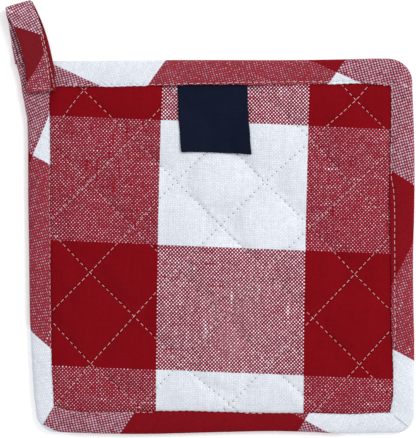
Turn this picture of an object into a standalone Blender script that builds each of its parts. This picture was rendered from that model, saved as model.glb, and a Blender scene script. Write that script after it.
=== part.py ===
"""Square quilted pot holder with a bias-cut binding, a hanging loop and a bare woven label.

It lies flat on Z = 0, face up: X to its right, Y to its top edge. The loop rises from the top
left corner. All tables below are in millimetres.
"""

import math

import bpy
import numpy as np
from mathutils import Vector
from mathutils.bvhtree import BVHTree

mm = 0.001

# The holder's four outer sides, and the inner edge of its binding, before their bows.
OUTER = dict(left=-93.7, right=106.6, bottom=-112.4, top=81.8)
INNER = dict(left=-82.4, right=94.5, bottom=-101.2, top=68.2)
CORNER_RADII = dict(top_left=2.0, top_right=12.0, bottom_right=9.5, bottom_left=9.5)

# How far each side strays outwards from its straight line: (place along the side, bow).
OUTER_BOWS = dict(
    left=((-112, -4.4), (-102, -3.7), (-95, -2.8), (-82, -1.9), (-56, -0.6), (-17, 0.0), (9, 0.4),
          (48, 0.8), (52, 1.0), (55, 1.6), (58, 2.2), (60.5, 2.5), (63, 3.1), (66, 3.7), (69, 4.0), (73.5, 4.85),
          (76, 5.5), (82, 7.1)),
    right=((-64, 0.5), (-43, 0.0), (-20, -0.1), (4, 0.5), (38, 0.5), (55, 0.0), (66, -0.5)),
    top=((-80, -0.5), (-50, -0.2), (-25, 0.0), (16, 0.0), (47, 0.0), (68, 0.3), (91, 0.8), (106, 0.4)),
    bottom=((-90, -0.5), (-71, 0.1), (-57, 0.5), (-31, 0.6), (-15, 0.2), (8, -0.4), (35, -0.8),
            (50, -0.4), (68, 0.4), (87, 0.1), (106, -0.1)),
)
INNER_BOWS = dict(
    left=((-101, -1.7), (-92, -1.2), (-83, -0.8), (-60, -0.4), (0, 0.0), (30, 0.3), (66, 0.5)),
    right=((-101, -0.2), (-94, 1.2), (-80, 1.4), (-71, 1.1), (-60, 0.6), (-25, 0.2), (0, -0.5), (15, -0.5),
           (33, 0.0), (56, 0.3), (66, 0.3)),
    top=((-76, -0.2), (-40, 0.0), (0, 0.2), (24, 0.3), (35, 0.35), (47, 0.55), (60, 0.85), (82, 1.0), (92, 0.0)),
    bottom=((-81, -2.8), (-77, -1.1), (-70, 0.0), (-60, 0.4), (-50, 0.3), (-35, 0.0), (-10, -0.2), (10, 0.2),
            (30, 0.7), (50, 0.85), (77, 1.35), (92, 0.6)),
)

# Binding: lips of folded cloth above and below the pad's rim.
LIP_THICKNESS = 1.0
CLEARANCE = 0.3
RIM_THICKNESS = 2.1
BINDING_HEIGHT = 2 * (LIP_THICKNESS + CLEARANCE) + RIM_THICKNESS
BINDING_BULGE = 0.35
STATION_SPACING = 4.6
CORNER_SPACING = 1.5
CORNER_REACH = 12.0
MITRE_DEPTH = 0.45

# Quilting: sewn lines cross at every other point of this grid of columns and rows.
# A column strays in Y and a row strays in X, as the cloth shifted under the needle.
QUILT_COLUMNS = ((-62.1, 0.0), (-39.5, 0.2), (-16.8, 0.6), (6.6, 0.6), (29.5, 0.0), (53.5, -0.8), (76.1, -1.7))
QUILT_ROWS = ((64.3, -0.5), (40.9, 0.0), (18.0, -0.4), (-4.2, -0.5), (-28.1, -0.2), (-51.8, 0.6),
              (-76.6, 1.6), (-99.0, 3.4))
# Crossings that slipped off that grid: (column, row, shift in X, shift in Y).
STRAY_CROSSINGS = ((0, 0, -2.4, 1.6), (4, 0, 0.3, -1.5), (6, 0, 0.9, -1.7), (6, 2, -0.7, -0.5), (1, 3, 0.4, -1.3),
                   (3, 3, 0.0, -0.7), (0, 4, 0.4, -0.7), (0, 6, -0.9, 0.2), (6, 6, 0.7, 1.4), (3, 7, 1.0, 0.9))
STRAY_REACH = 0.85
CELLS_PER_STEP = 6
CELLS_TO_SIDE = 5
CHANNEL_HEIGHT = 4.2
CROWN_HEIGHT = 7.0
CROWN_SPREAD = 0.35
CROWN_ROUNDNESS = 0.5
UNDERSIDE_GROOVE = 0.8
RIM_SLOPE_LENGTH = 3.2
PAD_EDGE_GAP = 2.3
PAD_SIDE_GAP = 0.5
PAD_SQUEEZE = 1.5

# Label, tucked under the top binding. Corners as it hangs, its lower edge a little askew.
LABEL_CORNERS = dict(top_left=(-16.0, 73.8), top_right=(19.9, 74.4), bottom_right=(21.9, 32.8),
                     bottom_left=(-14.1, 33.7))
LABEL_THICKNESS = 1.0
LABEL_CELLS = 16
LABEL_LIFT = 0.4
TUCK_DEPTH = 0.8
TUCK_RISE = 0.95
TUCK_SLOPE_LENGTH = 6.0

# Hanging loop: a folded tape whose centre line goes up from the corner, over and down to it.
TAPE_WIDTH = 14.3
TAPE_END_WIDTH = 15.2
TAPE_THICKNESS = 1.8
TAPE_EDGE = 0.5
FOLD_RADIUS = 3.6
FOLD_STEPS = 12
BACK_RUN = ((-94.0, 81.9), (-94.3, 83.4), (-95.8, 92.2), (-97.4, 102.6), (-98.5, 107.0))
FRONT_RUN = ((-97.2, 107.0, 6.7), (-93.6, 98.8, 7.5), (-90.5, 89.6, 7.5), (-88.4, 80.2, 6.9),
             (-87.6, 74.0, 6.45), (-86.9, 64.8, 6.4))
TURNED_END_LENGTH = 5.0
TURNED_END_THICKNESS = 2.5
TAPE_SPACING = 1.7

# Colours as (red, green, blue), linear.
CLOTH_RED = (0.218, 0.006, 0.010)
CLOTH_PINK = (0.350, 0.140, 0.180)
NAVY = (0.007, 0.010, 0.026)


def clear_scene():
    for thing in list(bpy.data.objects):
        bpy.data.objects.remove(thing, do_unlink=True)


def read_curve(rows, place):
    """A table's value at a place, on a smooth curve through its rows and level past its ends."""
    places, values = zip(*rows)
    if not places[0] < place < places[-1]:
        return values[0] if place <= places[0] else values[-1]
    slopes = np.gradient(values, places)
    high = next(n for n, reached in enumerate(places) if place <= reached)
    low, step = high - 1, places[high] - places[high - 1]
    share = (place - places[low]) / step
    return (
        values[low] + (values[high] - values[low]) * ease(share)
        + step * share * (1 - share) * (slopes[low] * (1 - share) - slopes[high] * share)
    )


def ease(share):
    share = min(max(share, 0.0), 1.0)
    return share * share * (3 - 2 * share)


def bowed(sides, bows, x, y):
    """Moves a point of the straight-sided rectangle with the bows of its four sides."""
    across = (x - sides["left"]) / (sides["right"] - sides["left"])
    up = (y - sides["bottom"]) / (sides["top"] - sides["bottom"])
    shift_x = across * read_curve(bows["right"], y) - (1 - across) * read_curve(bows["left"], y)
    shift_y = up * read_curve(bows["top"], x) - (1 - up) * read_curve(bows["bottom"], x)
    return x + shift_x, y + shift_y


def rounded(x, y):
    """Pulls a point of the outer rectangle's border in to its rounded corner."""
    low_x, high_x, low_y, high_y = OUTER["left"], OUTER["right"], OUTER["bottom"], OUTER["top"]
    side_x = "left" if x < (low_x + high_x) / 2 else "right"
    side_y = "bottom" if y < (low_y + high_y) / 2 else "top"
    radius = CORNER_RADII[side_y + "_" + side_x]
    centre_x = min(max(x, low_x + radius), high_x - radius)
    centre_y = min(max(y, low_y + radius), high_y - radius)
    away = math.hypot(x - centre_x, y - centre_y)
    return centre_x + (x - centre_x) * radius / away, centre_y + (y - centre_y) * radius / away


def outer_edge(x, y):
    """The laid outline at a point of the outer rectangle's border."""
    return bowed(OUTER, OUTER_BOWS, *rounded(x, y))


def inner_edge(x, y):
    """The binding's inner edge opposite that point."""
    across = (x - OUTER["left"]) / (OUTER["right"] - OUTER["left"])
    up = (y - OUTER["bottom"]) / (OUTER["top"] - OUTER["bottom"])
    inner_x = INNER["left"] + across * (INNER["right"] - INNER["left"])
    inner_y = INNER["bottom"] + up * (INNER["top"] - INNER["bottom"])
    return bowed(INNER, INNER_BOWS, inner_x, inner_y)


def side_places(low, high):
    """Places along one side, closer together where its corners turn."""
    places = []
    place = low
    while place < high - CORNER_SPACING / 2:
        places.append(place)
        near_corner = min(place - low, high - place) < CORNER_REACH
        place += CORNER_SPACING if near_corner else STATION_SPACING
    return places


def border_points():
    """Points round the outer rectangle, clockwise from its top left corner."""
    left, right, bottom, top = OUTER["left"], OUTER["right"], OUTER["bottom"], OUTER["top"]
    points = [(x, top) for x in side_places(left, right)]
    points += [(right, top + bottom - y) for y in side_places(bottom, top)]
    points += [(left + right - x, bottom) for x in side_places(left, right)]
    points += [(left, y) for y in side_places(bottom, top)]
    return points


def over_label(x, margin):
    """1 where the label is tucked in under the binding, eased to 0 beyond the margin."""
    left = LABEL_CORNERS["top_left"][0]
    right = LABEL_CORNERS["top_right"][0]
    outside = max(left - x, x - right, 0.0)
    return 1 - ease((outside - margin) / margin)


def mitre_fall(x, y):
    """How far the folded corner's crease lies below the lip, near a corner's diagonal."""
    near_x = min(x - OUTER["left"], OUTER["right"] - x)
    near_y = min(y - OUTER["bottom"], OUTER["top"] - y)
    return MITRE_DEPTH * math.exp(-((near_x - near_y) / 1.6) ** 2) if max(near_x, near_y) < 6 else 0.0


def binding_section(width, rise, fall):
    """The folded strip's cut end: (distance in from the outline, height), outer skin then inner skin."""
    top = BINDING_HEIGHT
    under_lip = top - LIP_THICKNESS
    bulge = BINDING_BULGE - fall
    return [
        (width, under_lip + rise),
        (width - 0.1, top - 0.15 + rise),
        (width - 1.6, top - 0.1 + rise),
        (width * 0.62, top + bulge + rise * 0.7),
        (width * 0.36, top + bulge * 0.8 + rise * 0.35),
        (1.6, top - 0.35),
        (0.45, top * 0.76),
        (0.0, top * 0.48),
        (0.4, top * 0.2),
        (1.7, 0.0),
        (width - 0.2, 0.0),
        (width, LIP_THICKNESS),
        (2.1, LIP_THICKNESS),
        (1.1, top * 0.34),
        (1.1, top * 0.62),
        (2.1, under_lip),
        (width * 0.36, under_lip + rise * 0.35),
        (width * 0.62, under_lip + rise * 0.7),
    ]


def new_object(name, points, faces, colour, roughness):
    """A closed, smooth mesh object from points in millimetres, with its own material."""
    mesh = bpy.data.meshes.new(name)
    mesh.from_pydata([(x * mm, y * mm, z * mm) for x, y, z in points], [], faces)
    mesh.validate()
    mesh.shade_smooth()
    mesh.set_sharp_from_angle(angle=math.radians(50))
    cloth = bpy.data.materials.new(name + "_cloth")
    cloth.use_nodes = True
    surface = cloth.node_tree.nodes["Principled BSDF"]
    surface.inputs["Base Color"].default_value = (*colour, 1.0)
    surface.inputs["Roughness"].default_value = roughness
    surface.inputs["Metallic"].default_value = 0.0
    mesh.materials.append(cloth)
    piece = bpy.data.objects.new(name, mesh)
    bpy.context.collection.objects.link(piece)
    return piece


def swept_faces(stations, section, closed):
    """Quads between the sections of a sweep, with end caps unless it closes on itself."""
    faces = []
    for station in range(stations if closed else stations - 1):
        here = station * section
        ahead = (station + 1) % stations * section
        for corner in range(section):
            beside = (corner + 1) % section
            faces.append((here + corner, ahead + corner, ahead + beside, here + beside))
    if not closed:
        faces.append(tuple(range(section)))
        faces.append(tuple((stations - 1) * section + corner for corner in reversed(range(section))))
    return faces


def make_binding():
    points = []
    border = border_points()
    for x, y in border:
        outer = np.array(outer_edge(x, y))
        inner = np.array(inner_edge(x, y))
        width = float(np.linalg.norm(inner - outer))
        inward = (inner - outer) / width
        on_top = y > OUTER["top"] - 0.01
        rise = TUCK_RISE * over_label(inner[0], 5.0) if on_top else 0.0
        for depth, height in binding_section(width, rise, mitre_fall(x, y)):
            places = outer + inward * depth
            points.append((places[0], places[1], height))
    faces = swept_faces(len(border), len(points) // len(border), closed=True)
    return new_object("edge_binding", points, faces, CLOTH_PINK, 0.9)


def quilt_place(column, row):
    """A point of the quilting grid, in whole and part steps from its first column and row."""
    columns, rows = QUILT_COLUMNS, QUILT_ROWS
    x = np.interp(column, range(len(columns)), [c[0] for c in columns])
    x += np.interp(row, range(len(rows)), [r[1] for r in rows])
    y = np.interp(row, range(len(rows)), [r[0] for r in rows])
    y += np.interp(column, range(len(columns)), [c[1] for c in columns])
    for stray_column, stray_row, shift_x, shift_y in STRAY_CROSSINGS:
        away = math.hypot(column - stray_column, row - stray_row)
        share = math.exp(-(away / STRAY_REACH) ** 2)
        x += shift_x * share
        y += shift_y * share
    return float(x), float(y)


def quilt_lines():
    """Column and row numbers of the pad's grid, from one side of the binding to the other."""
    side = CELLS_TO_SIDE / CELLS_PER_STEP
    last_column, last_row = len(QUILT_COLUMNS) - 1, len(QUILT_ROWS) - 1
    inside_columns = np.linspace(0, last_column, last_column * CELLS_PER_STEP + 1)
    inside_rows = np.linspace(0, last_row, last_row * CELLS_PER_STEP + 1)
    before = np.linspace(-side, 0, CELLS_TO_SIDE + 1)[:-1]
    after = np.linspace(last_column, last_column + side, CELLS_TO_SIDE + 1)[1:]
    one = 1 / CELLS_PER_STEP
    return [*before, *inside_columns, *after], [-one, *inside_rows, last_row + one]


def pad_sides(x, y):
    """Where the pad comes out from under the binding, to the left, right, bottom and top of a place."""
    gap = PAD_SIDE_GAP
    left = bowed(INNER, INNER_BOWS, INNER["left"], y)[0] + gap
    right = bowed(INNER, INNER_BOWS, INNER["right"], y)[0] - gap
    bottom = bowed(INNER, INNER_BOWS, x, INNER["bottom"])[1] + gap
    top = bowed(INNER, INNER_BOWS, x, INNER["top"])[1] - gap
    return left, right, bottom, top


def kept_apart(distance):
    """A distance from the pad's side, squeezed where a row of the grid would cross it."""
    squeeze = PAD_SQUEEZE
    return distance if distance > squeeze else squeeze * math.exp(distance / squeeze - 1)


def pad_place(column, row, columns, rows):
    """A grid point of the pad. Past the outer columns and rows it runs on to the binding's edge."""
    quilt_x, quilt_y = quilt_place(column, row)
    last_column, last_row = len(QUILT_COLUMNS) - 1, len(QUILT_ROWS) - 1
    past_left = max(-column, 0) / -columns[0]
    past_right = max(column - last_column, 0) / (columns[-1] - last_column)
    past_top = max(-row, 0) / -rows[0]
    past_bottom = max(row - last_row, 0) / (rows[-1] - last_row)
    x, y = quilt_x, quilt_y
    for _ in range(4):
        left, right, bottom, top = pad_sides(x, y)
        x = quilt_x + (left - quilt_x) * past_left + (right - quilt_x) * past_right
        low_y = bottom + kept_apart(quilt_y - bottom)
        y = low_y + (top - low_y) * past_top + (bottom - low_y) * past_bottom
    return x, y, min(x - left, right - x, y - bottom, top - y)


def quilt_fullness(column, row):
    """0 on the sewn lines and 1 in the middle of each diamond."""
    return abs(math.sin(math.pi * (column + row) / 2) * math.sin(math.pi * (column - row) / 2))


def top_height(column, row, inside, x, y):
    rim = LIP_THICKNESS + CLEARANCE + RIM_THICKNESS
    slope = RIM_SLOPE_LENGTH
    if y > INNER["top"] - 12:
        tucked = over_label(x, 4.5)
        rim -= TUCK_DEPTH * tucked
        slope += (TUCK_SLOPE_LENGTH - slope) * tucked
    diamond = 3.1 * math.floor((column + row) / 2) + 1.9 * math.floor((column - row) / 2)
    crown = CROWN_HEIGHT + CROWN_SPREAD * math.sin(diamond)
    fullness = quilt_fullness(column, row) ** CROWN_ROUNDNESS
    height = CHANNEL_HEIGHT + (crown - CHANNEL_HEIGHT) * fullness
    return height + (rim - height) * math.exp(-max(inside, 0.0) / slope)


def under_height(column, row, inside):
    groove = UNDERSIDE_GROOVE * max(1 - quilt_fullness(column, row) / 0.35, 0.0) ** 2
    rim = LIP_THICKNESS + CLEARANCE
    return max(groove, rim * (1 - ease(inside / RIM_SLOPE_LENGTH)))


def make_pad():
    columns, rows = quilt_lines()
    across, down = len(columns), len(rows)
    top_points, under_points = [], []
    for row in rows:
        for column in columns:
            x, y, inside = pad_place(column, row, columns, rows)
            top_points.append((x, y, top_height(column, row, inside, x, y)))
            under_points.append((x, y, under_height(column, row, inside)))
    faces = []
    count = across * down
    for j in range(down - 1):
        for i in range(across - 1):
            a = j * across + i
            b, c, d = a + 1, a + 1 + across, a + across
            falling = abs(round((columns[i] - rows[j]) / 2) * 2 - (columns[i] - rows[j]))
            rising = abs(round((columns[i + 1] + rows[j]) / 2) * 2 - (columns[i + 1] + rows[j]))
            if falling < rising:
                faces += [(a, c, b), (a, d, c)]
                faces += [(count + a, count + b, count + c), (count + a, count + c, count + d)]
            else:
                faces += [(a, d, b), (b, d, c)]
                faces += [(count + a, count + b, count + d), (count + b, count + c, count + d)]
    loop = [i for i in range(across)]
    loop += [j * across + across - 1 for j in range(1, down)]
    loop += [(down - 1) * across + i for i in range(across - 2, -1, -1)]
    loop += [j * across for j in range(down - 2, 0, -1)]
    rim_top, rim_under = [], []
    for index in loop:
        x, y, height = top_points[index]
        outline = rim_place(x, y)
        rim_top.append((*outline, height))
        rim_under.append((*outline, LIP_THICKNESS + CLEARANCE))
    points = top_points + under_points + rim_top + rim_under
    for n, index in enumerate(loop):
        following = (n + 1) % len(loop)
        near, far = index, loop[following]
        outer_near, outer_far = 2 * count + n, 2 * count + following
        lower_near, lower_far = outer_near + len(loop), outer_far + len(loop)
        faces.append((near, far, outer_far, outer_near))
        faces.append((outer_near, outer_far, lower_far, lower_near))
        faces.append((lower_near, lower_far, count + far, count + near))
    return new_object("quilted_pad", points, faces, CLOTH_RED, 0.9)


def rim_place(x, y):
    """The pad's rim inside the binding's fold, opposite a point of the grid's border."""
    across = (x - INNER["left"]) / (INNER["right"] - INNER["left"])
    up = (y - INNER["bottom"]) / (INNER["top"] - INNER["bottom"])
    across, up = min(max(across, 0.0), 1.0), min(max(up, 0.0), 1.0)
    nearest = min(across, 1 - across, up, 1 - up)
    if nearest in (across, 1 - across):
        across = round(across)
    if nearest in (up, 1 - up):
        up = round(up)
    outer_x = OUTER["left"] + across * (OUTER["right"] - OUTER["left"])
    outer_y = OUTER["bottom"] + up * (OUTER["top"] - OUTER["bottom"])
    outer = np.array(outer_edge(outer_x, outer_y))
    inward = np.array((x, y)) - outer
    place = outer + inward / np.linalg.norm(inward) * PAD_EDGE_GAP
    return float(place[0]), float(place[1])


def label_place(across, down):
    corners = {name: np.array(place) for name, place in LABEL_CORNERS.items()}
    top = corners["top_left"] + (corners["top_right"] - corners["top_left"]) * across
    bottom = corners["bottom_left"] + (corners["bottom_right"] - corners["bottom_left"]) * across
    return top + (bottom - top) * down


def surface_height(tree, x, y, reach):
    """The highest point of the pad within a short reach of a place."""
    highest = 0.0
    for dx in (-reach, 0.0, reach):
        for dy in (-reach, 0.0, reach):
            hit = tree.ray_cast(Vector(((x + dx) * mm, (y + dy) * mm, 0.1)), Vector((0, 0, -1)))[0]
            highest = max(highest, hit.z / mm if hit else 0.0)
    return highest


def make_label(pad):
    tree = BVHTree.FromObject(pad, bpy.context.evaluated_depsgraph_get())
    size = LABEL_CELLS + 1
    lower, upper = [], []
    for j in range(size):
        for i in range(size):
            x, y = label_place(i / LABEL_CELLS, j / LABEL_CELLS)
            height = surface_height(tree, x, y, 0.9) + LABEL_LIFT
            lower.append((x, y, height))
            upper.append((x, y, height + LABEL_THICKNESS))
    count = size * size
    faces = []
    for j in range(LABEL_CELLS):
        for i in range(LABEL_CELLS):
            a = j * size + i
            b, c, d = a + 1, a + 1 + size, a + size
            faces.append((a, b, c, d))
            faces.append((count + a, count + d, count + c, count + b))
    loop = [i for i in range(size)] + [j * size + size - 1 for j in range(1, size)]
    loop += [(size - 1) * size + i for i in range(size - 2, -1, -1)] + [j * size for j in range(size - 2, 0, -1)]
    for near, far in zip(loop, loop[1:] + loop[:1]):
        faces.append((near, count + near, count + far, far))
    return new_object("sewn_label", lower + upper, faces, NAVY, 0.7)


def smooth_path(knots, spacing):
    """Points along a curve through the knots, evenly spaced as far as whole steps allow."""
    knots = [np.array(knot, float) for knot in knots]
    before = [2 * knots[0] - knots[1]] + knots[:-1]
    after = knots[1:] + [2 * knots[-1] - knots[-2]]
    points = [knots[0]]
    for k in range(len(knots) - 1):
        start, end = knots[k], knots[k + 1]
        pull, push = (end - before[k]) / 2, (after[k + 1] - start) / 2
        steps = max(round(float(np.linalg.norm(end - start)) / spacing), 1)
        for step in range(1, steps + 1):
            t = step / steps
            points.append(
                (2 * t**3 - 3 * t**2 + 1) * start + (t**3 - 2 * t**2 + t) * pull
                + (3 * t**2 - 2 * t**3) * end + (t**3 - t**2) * push
            )
    return points


def unit(vector):
    return vector / np.linalg.norm(vector)


def tape_path():
    """The loop's centre line and, at each point, the way it heads on the table if unrolled upwards."""
    low = TAPE_THICKNESS / 2
    back = [np.append(point, low) for point in smooth_path(BACK_RUN, TAPE_SPACING * 2)]
    front = smooth_path(FRONT_RUN, TAPE_SPACING)
    back_ahead, front_ahead = unit(back[-1][:2] - back[-2][:2]), unit(front[0][:2] - front[1][:2])
    rise = (front[0][2] - low) / 2
    fold, fold_ahead = [], []
    for step in range(1, FOLD_STEPS):
        share = step / FOLD_STEPS
        turn = math.pi * share
        ahead = unit(back_ahead + (front_ahead - back_ahead) * share**2)
        place = back[-1][:2] + (front[0][:2] - back[-1][:2]) * share
        place = place + ahead * FOLD_RADIUS * math.sin(turn)
        fold.append(np.append(place, low + rise * (1 - math.cos(turn))))
        fold_ahead.append(ahead)
    aheads = [unit(p) for p in np.gradient(np.array(back), axis=0)[:, :2]] + fold_ahead
    aheads += [unit(-p) for p in np.gradient(np.array(front), axis=0)[:, :2]]
    aheads[0] = np.array((0.0, 1.0))
    return np.array(back + fold + front), aheads, len(front)


def tape_section(width, extra):
    """The flattened tape's cut end: (sideways, outward), with the turned end's extra layers outside."""
    half, low = width / 2, TAPE_THICKNESS / 2
    edge = TAPE_EDGE
    outer = low + extra
    return [
        (-half, edge - outer), (edge - half, -outer), (0.0, -outer), (half - edge, -outer), (half, edge - outer),
        (half, low - edge), (half - edge, low), (0.0, low), (edge - half, low), (-half, low - edge),
    ]


def make_loop():
    centre, aheads, front_count = tape_path()
    along = np.gradient(centre, axis=0)
    steps = np.linalg.norm(np.diff(centre, axis=0), axis=1)
    points = []
    for n, (place, ahead) in enumerate(zip(centre, aheads)):
        side = np.array((ahead[1], -ahead[0], 0.0))
        outward = unit(np.cross(side, along[n]))
        turned = ease((TURNED_END_LENGTH + 1 - steps[n:].sum()) / 2)
        down_front = max(n - (len(centre) - front_count), 0) / front_count
        width = TAPE_WIDTH + (TAPE_END_WIDTH - TAPE_WIDTH) * down_front
        for sideways, height in tape_section(width, (TURNED_END_THICKNESS - TAPE_THICKNESS) * turned):
            points.append(tuple(place + side * sideways + outward * height))
    faces = swept_faces(len(centre), len(points) // len(centre), closed=False)
    return new_object("hanging_loop", points, faces, CLOTH_PINK, 0.9)


clear_scene()
quilted_pad = make_pad()
make_binding()
make_label(quilted_pad)
make_loop()
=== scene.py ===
from functools import partial
from math import cos, exp, floor, hypot, pi, sin, sqrt

import bpy
import numpy as np
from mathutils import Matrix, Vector, noise
from mathutils.bvhtree import BVHTree


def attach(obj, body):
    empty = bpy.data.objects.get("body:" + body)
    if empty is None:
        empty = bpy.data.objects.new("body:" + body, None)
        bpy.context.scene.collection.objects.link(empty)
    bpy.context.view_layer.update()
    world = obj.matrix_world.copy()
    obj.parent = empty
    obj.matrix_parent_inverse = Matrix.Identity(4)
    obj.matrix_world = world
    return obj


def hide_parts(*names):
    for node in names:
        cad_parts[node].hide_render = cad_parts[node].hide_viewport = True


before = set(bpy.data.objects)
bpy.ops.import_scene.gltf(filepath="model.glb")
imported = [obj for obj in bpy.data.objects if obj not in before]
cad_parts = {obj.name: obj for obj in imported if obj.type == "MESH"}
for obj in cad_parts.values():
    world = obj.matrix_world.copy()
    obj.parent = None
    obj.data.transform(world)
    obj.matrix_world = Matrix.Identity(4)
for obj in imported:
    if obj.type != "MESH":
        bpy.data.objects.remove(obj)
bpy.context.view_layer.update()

mm = 0.001
pixel, photoMiddle = 0.5208, (208.8, 217)  # of the photo: millimetres in each pixel, and its middle

# the holder's outline, in millimetres: its sides, its corners and how far each side bows out
outline = dict(
    outer=dict(left=-93.7, right=106.6, bottom=-112.4, top=81.8),
    inner=dict(left=-82.4, right=94.5, bottom=-101.2, top=68.2),
    radii=dict(topLeft=2.0, topRight=12.0, bottomRight=9.5, bottomLeft=9.5),
    outerBows=dict(
        left=((-112, -4.4), (-102, -3.7), (-95, -2.8), (-82, -1.9), (-56, -0.6), (-17, 0.0), (9, 0.4),
            (48, 0.8), (52, 1.0), (55, 1.6), (58, 2.2), (60.5, 2.5), (63, 3.1), (66, 3.7), (69, 4.0),
            (73.5, 4.85), (76, 5.5), (82, 7.1)),
        right=((-64, 0.5), (-43, 0.0), (-20, -0.1), (4, 0.5), (38, 0.5), (55, 0.0), (66, -0.5)),
        top=((-80, -0.5), (-50, -0.2), (-25, 0.0), (16, 0.0), (47, 0.0), (68, 0.3), (91, 0.8), (106, 0.4)),
        bottom=((-90, -0.5), (-71, 0.1), (-57, 0.5), (-31, 0.6), (-15, 0.2), (8, -0.4), (35, -0.8),
            (50, -0.4), (68, 0.4), (87, 0.1), (106, -0.1)),
    ),
    innerBows=dict(
        left=((-101, -1.7), (-92, -1.2), (-83, -0.8), (-60, -0.4), (0, 0.0), (30, 0.3), (66, 0.5)),
        right=((-101, -0.2), (-94, 1.2), (-80, 1.4), (-71, 1.1), (-60, 0.6), (-25, 0.2), (0, -0.5),
            (15, -0.5), (33, 0.0), (56, 0.3), (66, 0.3)),
        top=((-76, -0.2), (-62, -0.35), (-44, -0.25), (-34, 0.0), (-19, 0.1), (-13, 0.4), (4, 0.55),
            (18, 0.6), (26, 0.3), (35, 0.35), (47, 0.55), (60, 0.85), (82, 1.0), (92, 0.0)),
        bottom=((-81, -2.8), (-77, -1.1), (-70, 0.0), (-60, 0.4), (-50, 0.3), (-35, 0.0), (-10, -0.2),
            (10, 0.2), (30, 0.7), (50, 0.85), (77, 1.35), (92, 0.6)),
    ),
)


def sharesIn(sides, x, y):
    # how far across and how far up a place is between four sides, 0 to 1
    across = (x - sides["left"]) / (sides["right"] - sides["left"])
    return across, (y - sides["bottom"]) / (sides["top"] - sides["bottom"])


def ease(share):
    share = min(max(share, 0.0), 1.0)
    return share * share * (3 - 2 * share)


slopesOf = {}


def readCurve(rows, place):
    # a table's value at a place, on a smooth curve through its rows and level past its ends
    if rows not in slopesOf:
        places, values = zip(*rows)
        slopesOf[rows] = places, values, np.gradient(values, places).tolist()
    places, values, slopes = slopesOf[rows]
    if not places[0] < place < places[-1]:
        return values[0] if place <= places[0] else values[-1]
    high = next(n for n, reached in enumerate(places) if place <= reached)
    low, step = high - 1, places[high] - places[high - 1]
    share = (place - places[low]) / step
    lean = slopes[low] * (1 - share) - slopes[high] * share
    return values[low] + (values[high] - values[low]) * ease(share) + step * share * (1 - share) * lean


def bowed(edge, x, y):
    # a place on or between the straight sides of the outer or inner edge, moved as its sides bow
    bows = outline[edge + "Bows"]
    across, up = sharesIn(outline[edge], x, y)
    shiftX = across * readCurve(bows["right"], y) - (1 - across) * readCurve(bows["left"], y)
    shiftY = up * readCurve(bows["top"], x) - (1 - up) * readCurve(bows["bottom"], x)
    return x + shiftX, y + shiftY


def outerEdge(x, y):
    # a point of the straight outer rectangle, pulled in to its rounded corner and bowed
    sides = outline["outer"]
    across, up = sharesIn(sides, x, y)
    radius = outline["radii"][("bottom" if up < 0.5 else "top") + ("Left" if across < 0.5 else "Right")]
    centreX = min(max(x, sides["left"] + radius), sides["right"] - radius)
    centreY = min(max(y, sides["bottom"] + radius), sides["top"] - radius)
    away = hypot(x - centreX, y - centreY)
    return bowed("outer", centreX + (x - centreX) * radius / away, centreY + (y - centreY) * radius / away)


def innerEdge(x, y):
    inner = outline["inner"]
    across, up = sharesIn(outline["outer"], x, y)
    return bowed("inner", inner["left"] + across * (inner["right"] - inner["left"]),
        inner["bottom"] + up * (inner["top"] - inner["bottom"]))


def depthInside(x, y):
    # how far a place is in from the binding's inner edge, below 0 under the binding
    inner = outline["inner"]
    left, right = (bowed("inner", inner[side], y)[0] for side in ("left", "right"))
    bottom, top = (bowed("inner", x, inner[side])[1] for side in ("bottom", "top"))
    return min(x - left, right - x, y - bottom, top - y)


def drift(x, y, z, size):
    # slow, even wandering between -1 and 1 over about this many millimetres
    return noise.noise(Vector((x / size + 31.7, y / size + 12.9, z / size + 7.3))) * 1.6


# mesh helpers
def clearSelection():
    bpy.ops.object.select_all(action="DESELECT")


def makeActive(piece):
    clearSelection()
    piece.select_set(True)
    bpy.context.view_layer.objects.active = piece


def applyModifier(piece, kind, **settings):
    makeActive(piece)
    modifier = piece.modifiers.new(kind.lower(), kind)
    for name, value in settings.items():
        setattr(modifier, name, value)
    bpy.ops.object.modifier_apply(modifier=modifier.name)


def meshPiece(name, points, faces):
    mesh = bpy.data.meshes.new(name)
    mesh.from_pydata([(x * mm, y * mm, z * mm) for x, y, z in points], [], faces)
    piece = bpy.data.objects.new(name, mesh)
    bpy.context.scene.collection.objects.link(piece)
    return piece


def readPoints(piece):
    points = np.empty(len(piece.data.vertices) * 3)
    piece.data.vertices.foreach_get("co", points)
    return points.reshape(-1, 3) / mm


def writePoints(piece, points):
    piece.data.vertices.foreach_set("co", (np.asarray(points) * mm).ravel())
    piece.data.update()


def cornerVertices(piece):
    vertices = np.empty(len(piece.data.loops), int)
    piece.data.loops.foreach_get("vertex_index", vertices)
    return vertices


def writeMap(piece, name, corners):
    layer = piece.data.uv_layers.get(name) or piece.data.uv_layers.new(name=name)
    layer.data.foreach_set("uv", np.asarray(corners, float).ravel())


def writeMapAtPoints(piece, name, values):
    writeMap(piece, name, np.asarray(values)[cornerVertices(piece)])


def gridPiece(name, across, down):
    # a plain grid without maps, and where its points are, 0 to 1 along each way
    clearSelection()
    bpy.ops.mesh.primitive_grid_add(x_subdivisions=across, y_subdivisions=down, size=1.0)
    piece = bpy.context.object
    piece.name = piece.data.name = name
    for layer in list(piece.data.uv_layers):
        piece.data.uv_layers.remove(layer)
    return piece, readPoints(piece) * mm + 0.5


def readMap(piece, name):
    corners = np.empty(len(piece.data.loops) * 2)
    piece.data.uv_layers[name].data.foreach_get("uv", corners)
    return corners.reshape(-1, 2)


def finishPiece(piece, material, node=None):
    piece.data.shade_smooth()
    piece.data.materials.clear()
    piece.data.materials.append(material)
    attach(piece, "root")
    if node:
        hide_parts(node)


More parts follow.
